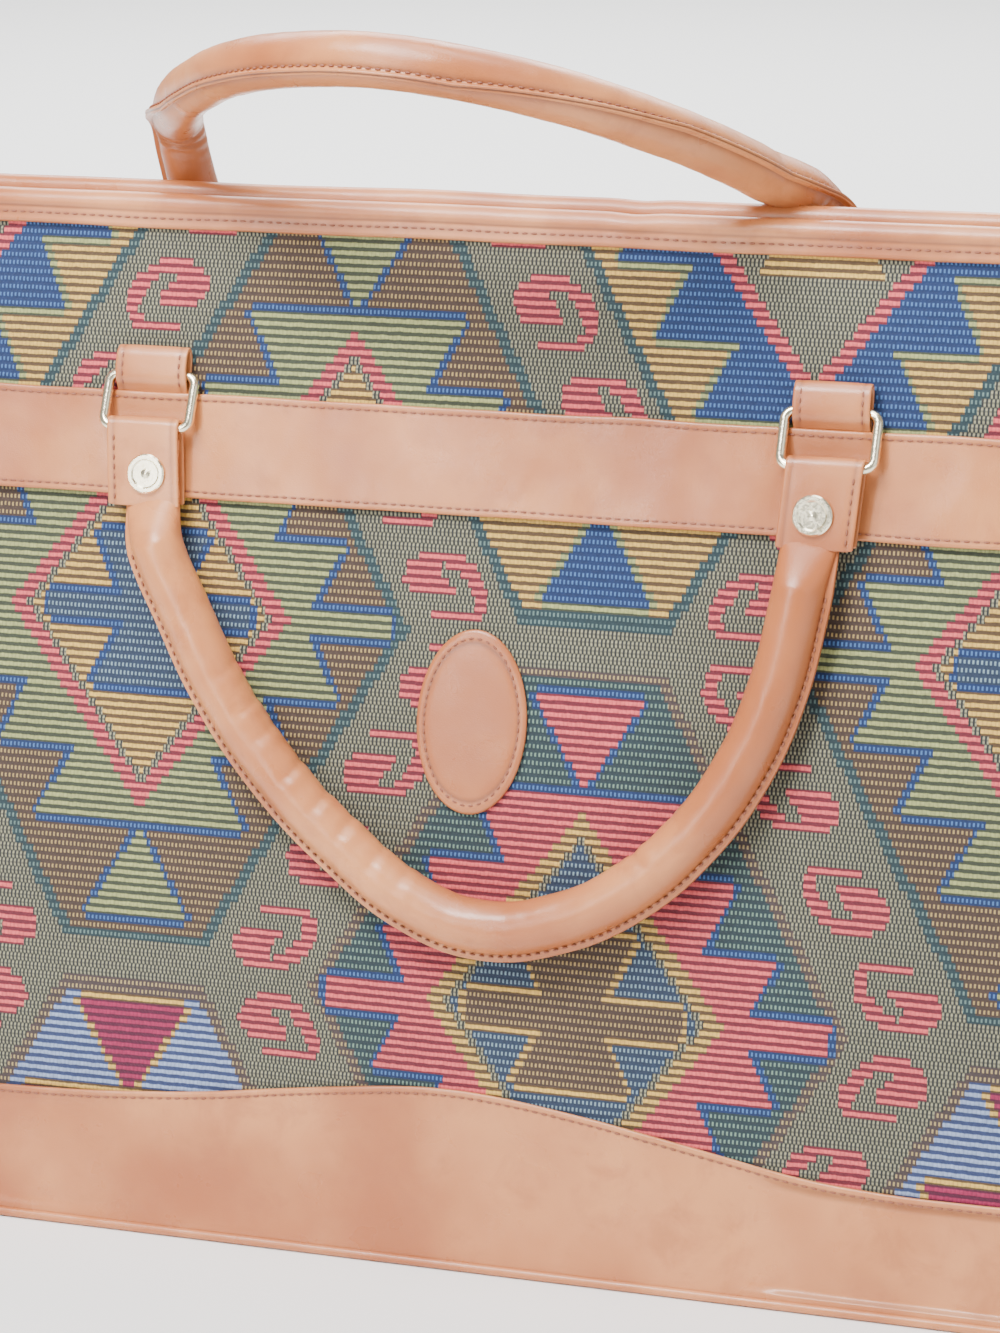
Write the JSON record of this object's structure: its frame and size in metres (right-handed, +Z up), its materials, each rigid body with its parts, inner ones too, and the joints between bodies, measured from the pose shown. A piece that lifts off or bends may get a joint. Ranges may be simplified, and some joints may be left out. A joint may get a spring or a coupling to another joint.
{
  "type": "carpet bag",
  "caption": "Soft travel bag of woven tapestry cloth with tan leather trim, two stuffed tube handles on wire rings, rolled top edges and a piped flat base.",
  "frame": {"origin": "middle of the base, on the surface it stands on", "axes": "+X to the right seen from the front, +Y to the rear, +Z up"},
  "size_m": [0.5072, 0.1688, 0.438],
  "materials": {
    "tapestry": "woven",
    "tan_leather": "satin",
    "ring_wire": "polished",
    "rivet_metal": "polished",
    "zip_cloth": "matte",
    "zip_nylon": "matte",
    "zip_metal": "polished",
    "lining_cloth": "matte",
    "board": "matte"
  },
  "bodies": {
    "bag": {"base_board": "board", "base_panel": "tan_leather", "base_piping": "tan_leather", "front_band": "tan_leather", "front_left_ring_loop": "tan_leather", "front_lower_tapestry": "tapestry", "front_lower_trim": "tan_leather", "front_right_ring_loop": "tan_leather", "front_top_binding": "tan_leather", "front_upper_tapestry": "tapestry", "front_zip_coil": "zip_nylon", "front_zip_tape": "zip_cloth", "left_gusset": "tapestry", "left_lower_trim": "tan_leather", "lining": "lining_cloth", "oval_patch": "tan_leather", "rear_band": "tan_leather", "rear_left_ring_loop": "tan_leather", "rear_lower_tapestry": "tapestry", "rear_lower_trim": "tan_leather", "rear_right_ring_loop": "tan_leather", "rear_top_binding": "tan_leather", "rear_upper_tapestry": "tapestry", "rear_zip_coil": "zip_nylon", "rear_zip_tape": "zip_cloth", "right_gusset": "tapestry", "right_lower_trim": "tan_leather"},
    "front_left_ring": {"front_left_ring": "ring_wire"},
    "front_right_ring": {"front_right_ring": "ring_wire"},
    "front_handle": {"front_handle": "tan_leather", "front_left_handle_tab": "tan_leather", "front_left_rivet": "rivet_metal", "front_right_handle_tab": "tan_leather", "front_right_rivet": "rivet_metal"},
    "rear_left_ring": {"rear_left_ring": "ring_wire"},
    "rear_right_ring": {"rear_right_ring": "ring_wire"},
    "rear_handle": {"rear_handle": "tan_leather", "rear_left_handle_tab": "tan_leather", "rear_left_rivet": "rivet_metal", "rear_right_handle_tab": "tan_leather", "rear_right_rivet": "rivet_metal"},
    "zip_slider": {"zip_slider": "zip_metal"},
    "zip_pull": {"zip_pull": "zip_metal"}
  },
  "joints": [
    {"name": "front_left_ring_hinge", "type": "hinge", "parent": "bag", "child": "front_left_ring", "pos_m": [-0.1207, -0.0254, 0.29749], "axis": [-1, 0, 0], "range_deg": [0, 130]},
    {"name": "front_right_ring_hinge", "type": "hinge", "parent": "bag", "child": "front_right_ring", "pos_m": [0.1207, -0.0254, 0.29749], "axis": [-1, 0, 0], "range_deg": [0, 130]},
    {"name": "front_handle_hinge", "type": "hinge", "parent": "front_left_ring", "child": "front_handle", "pos_m": [-0.1207, -0.03436, 0.28074], "axis": [-1, 0, 0], "range_deg": [0, 28]},
    {"name": "rear_left_ring_hinge", "type": "hinge", "parent": "bag", "child": "rear_left_ring", "pos_m": [-0.1207, 0.0254, 0.29749], "axis": [-1, 0, 0], "range_deg": [0, 135]},
    {"name": "rear_right_ring_hinge", "type": "hinge", "parent": "bag", "child": "rear_right_ring", "pos_m": [0.1207, 0.0254, 0.29749], "axis": [-1, 0, 0], "range_deg": [0, 135]},
    {"name": "rear_handle_hinge", "type": "hinge", "parent": "rear_left_ring", "child": "rear_handle", "pos_m": [-0.1207, 0.02494, 0.31649], "axis": [-1, 0, 0], "range_deg": [0, 30]},
    {"name": "zip_slide", "type": "slide", "parent": "bag", "child": "zip_slider", "axis": [-1, 0, 0], "range_m": [0, 0.404]},
    {"name": "zip_pull_hinge", "type": "hinge", "parent": "zip_slider", "child": "zip_pull", "pos_m": [0.2005, 0, 0.3328], "axis": [0, 1, 0], "range_deg": [0, 25]}
  ],
  "couplings": [
    {"joint": "front_right_ring_hinge", "follows": "front_left_ring_hinge", "ratio": 1},
    {"joint": "rear_right_ring_hinge", "follows": "rear_left_ring_hinge", "ratio": 1}
  ]
}
